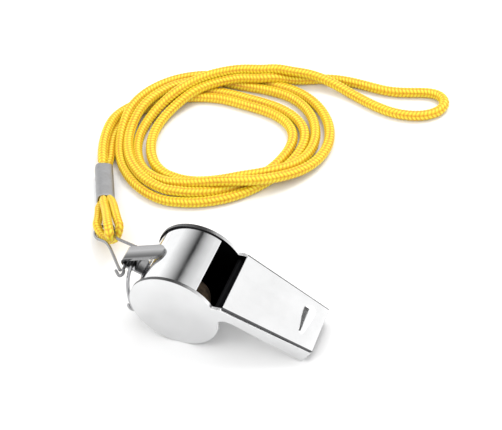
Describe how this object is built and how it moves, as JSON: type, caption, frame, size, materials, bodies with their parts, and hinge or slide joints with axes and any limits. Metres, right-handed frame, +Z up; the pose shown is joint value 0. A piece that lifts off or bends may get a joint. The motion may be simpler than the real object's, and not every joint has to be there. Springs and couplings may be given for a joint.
{
  "type": "training whistle",
  "caption": "Folded sheet steel pea whistle with a split ring, a wire clip and a knitted neck lanyard wound in a coil.",
  "frame": {"origin": "on the floor, under the middle of the whistle from the rear of its lug to the tip of its mouthpiece", "axes": "+X towards the mouthpiece, +Y across the barrel towards the left side plate, +Z up, with the whistle resting on its side plates and its tip"},
  "size_m": [0.0838, 0.0927, 0.02],
  "materials": {
    "whistle_steel": "bright polished plating",
    "lug_steel": "satin",
    "wire_steel": "drawn wire",
    "crimp_metal": "matt",
    "cork": "cork",
    "cord": "knitted polyester"
  },
  "bodies": {
    "whistle": {"barrel_strip": "whistle_steel", "side_plate_left": "whistle_steel", "side_plate_right": "whistle_steel", "mouthpiece_roof": "whistle_steel", "lug": "lug_steel"},
    "pea": {"pea": "cork"},
    "ring": {"split_ring": "wire_steel"},
    "lanyard": {"wire_clip": "wire_steel", "crimp_sleeve": "crimp_metal", "cord_in_sleeve": "cord", "cord_loop_outer": "cord", "cord_loop_inner": "cord", "cord_lead_upper": "cord", "cord_lead_lower": "cord", "cord_coil": "cord", "cord_bight": "cord"}
  },
  "joints": [
    {"name": "pea_roll", "type": "hinge", "parent": "whistle", "child": "pea", "pos_m": [-0.00761, 0, 0.01], "axis": [0, 1, 0], "continuous": true},
    {"name": "ring_swing", "type": "hinge", "parent": "whistle", "child": "ring", "pos_m": [-0.01901, 0, 0.0144], "axis": [0, 1, 0], "range_deg": [-10, 15]},
    {"name": "clip_swing", "type": "hinge", "parent": "whistle", "child": "lanyard", "pos_m": [-0.02054, 0, 0.01452], "axis": [0, 1, 0], "range_deg": [-18, 100]}
  ]
}
